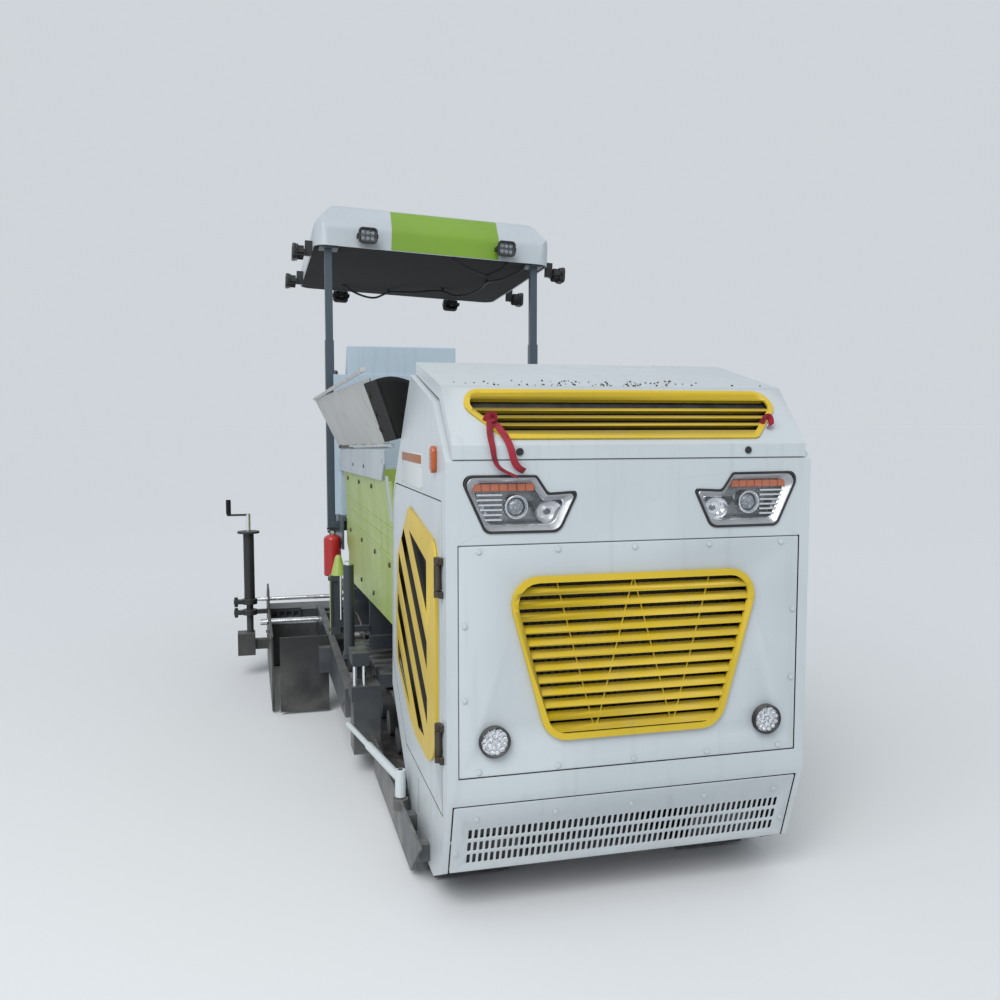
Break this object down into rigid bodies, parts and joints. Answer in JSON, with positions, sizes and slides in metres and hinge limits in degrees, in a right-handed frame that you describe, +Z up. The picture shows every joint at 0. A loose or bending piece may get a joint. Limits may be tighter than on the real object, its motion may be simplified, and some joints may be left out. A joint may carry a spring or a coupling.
{
  "type": "asphalt paver",
  "caption": "Small crawler asphalt paver with front engine housing, folding hopper wings, two-post canopy, augers and an extendable screed.",
  "frame": {"origin": "ground level under the middle of the machine's length and width", "axes": "+X to the right as the engine end is seen from in front, +Y from the engine housing to the screed, +Z up"},
  "size_m": [2.686, 5.1288, 3.0116],
  "materials": {
    "white_paint": "gloss paint",
    "yellow_paint": "gloss paint",
    "green_paint": "worn paint",
    "slate_paint": "satin paint",
    "dark_steel": "dusty dark paint",
    "rail_paint": "satin paint",
    "pale_paint": "satin paint",
    "red_paint": "gloss paint",
    "track_steel": "dusty steel",
    "worn_steel": "worn bright steel",
    "cast_block": "cast metal",
    "lamp_chrome": "chrome and clear lens",
    "lamp_black": "black housing",
    "amber_lens": "amber lens",
    "rubber": "black rubber sheet",
    "seat_cover": "black vinyl",
    "black_paint": "satin black"
  },
  "bodies": {
    "chassis": {"main_frame": "dark_steel", "engine_block": "cast_block", "radiator": "black_paint", "engine_housing": "white_paint", "front_panel": "white_paint", "front_grille": "yellow_paint", "lower_panel": "white_paint", "headlamps": "lamp_chrome", "round_lamps": "lamp_black", "marker_lamps": "amber_lens", "hopper": "green_paint", "conveyor": "dark_steel", "hinge_rails": "rail_paint", "track_left": "track_steel", "track_right": "track_steel", "undercarriage_left": "dark_steel", "undercarriage_right": "dark_steel", "side_guards": "dark_steel", "tow_columns": "dark_steel", "platform": "slate_paint", "shield": "pale_paint", "console": "pale_paint", "seats": "seat_cover", "post_sleeves": "slate_paint", "auger_carrier": "dark_steel", "extinguisher": "red_paint"},
    "hood": {"hood": "white_paint", "hood_grille": "yellow_paint"},
    "door_left": {"door_left": "white_paint", "door_grille_left": "yellow_paint"},
    "door_right": {"door_right": "white_paint", "door_grille_right": "yellow_paint"},
    "wing_left": {"wing_left": "white_paint", "wing_flap_left": "rubber"},
    "wing_right": {"wing_right": "white_paint", "wing_flap_right": "rubber"},
    "canopy": {"canopy_roof": "white_paint", "canopy_liner": "black_paint", "canopy_posts": "slate_paint", "work_lamps": "lamp_black"},
    "screed": {"tow_arms": "dark_steel", "screed_body": "dark_steel", "walkway": "dark_steel"},
    "extension_left": {"screed_ext_left": "dark_steel", "end_plate_left": "dark_steel", "height_jack_left": "black_paint"},
    "extension_right": {"screed_ext_right": "dark_steel", "end_plate_right": "dark_steel", "height_jack_right": "black_paint"},
    "auger_left": {"auger_left": "worn_steel"},
    "auger_right": {"auger_right": "worn_steel"},
    "guide_rod": {"guide_rod": "pale_paint"}
  },
  "joints": [
    {"name": "hood_hinge", "type": "hinge", "parent": "chassis", "child": "hood", "pos_m": [0, -1.878, 1.826], "axis": [-1, 0, 0], "range_deg": [0, 55]},
    {"name": "door_left_hinge", "type": "hinge", "parent": "chassis", "child": "door_left", "pos_m": [-0.639, -2.474, 0.87], "axis": [0, 0, 1], "range_deg": [0, 100]},
    {"name": "door_right_hinge", "type": "hinge", "parent": "chassis", "child": "door_right", "pos_m": [0.639, -2.474, 0.87], "axis": [0, 0, -1], "range_deg": [0, 100]},
    {"name": "wing_left_fold", "type": "hinge", "parent": "chassis", "child": "wing_left", "pos_m": [-0.65, 0.66, 1.465], "axis": [-0.015, 0.9995, -0.0275], "range_deg": [0, 70]},
    {"name": "wing_right_fold", "type": "hinge", "parent": "chassis", "child": "wing_right", "pos_m": [0.65, 0.66, 1.465], "axis": [-0.015, -0.9995, 0.0275], "range_deg": [0, 70]},
    {"name": "canopy_slide", "type": "slide", "parent": "chassis", "child": "canopy", "axis": [0, 0, 1], "range_m": [-0.35, 0]},
    {"name": "screed_lift", "type": "hinge", "parent": "chassis", "child": "screed", "pos_m": [0, -0.86, 0.3], "axis": [1, 0, 0], "range_deg": [0, 8]},
    {"name": "extension_left_slide", "type": "slide", "parent": "screed", "child": "extension_left", "axis": [-1, 0, 0], "range_m": [-0.28, 0.1]},
    {"name": "extension_right_slide", "type": "slide", "parent": "screed", "child": "extension_right", "axis": [1, 0, 0], "range_m": [-0.28, 0.1]},
    {"name": "auger_left_spin", "type": "hinge", "parent": "chassis", "child": "auger_left", "pos_m": [-0.35, 0.52, 0.3], "axis": [1, 0, 0], "continuous": true},
    {"name": "auger_right_spin", "type": "hinge", "parent": "chassis", "child": "auger_right", "pos_m": [0.35, 0.52, 0.3], "axis": [1, 0, 0], "continuous": true},
    {"name": "guide_rod_swing", "type": "hinge", "parent": "chassis", "child": "guide_rod", "pos_m": [-0.667, -1.85, 0.24], "axis": [0, 0, 1], "range_deg": [0, 160]}
  ]
}
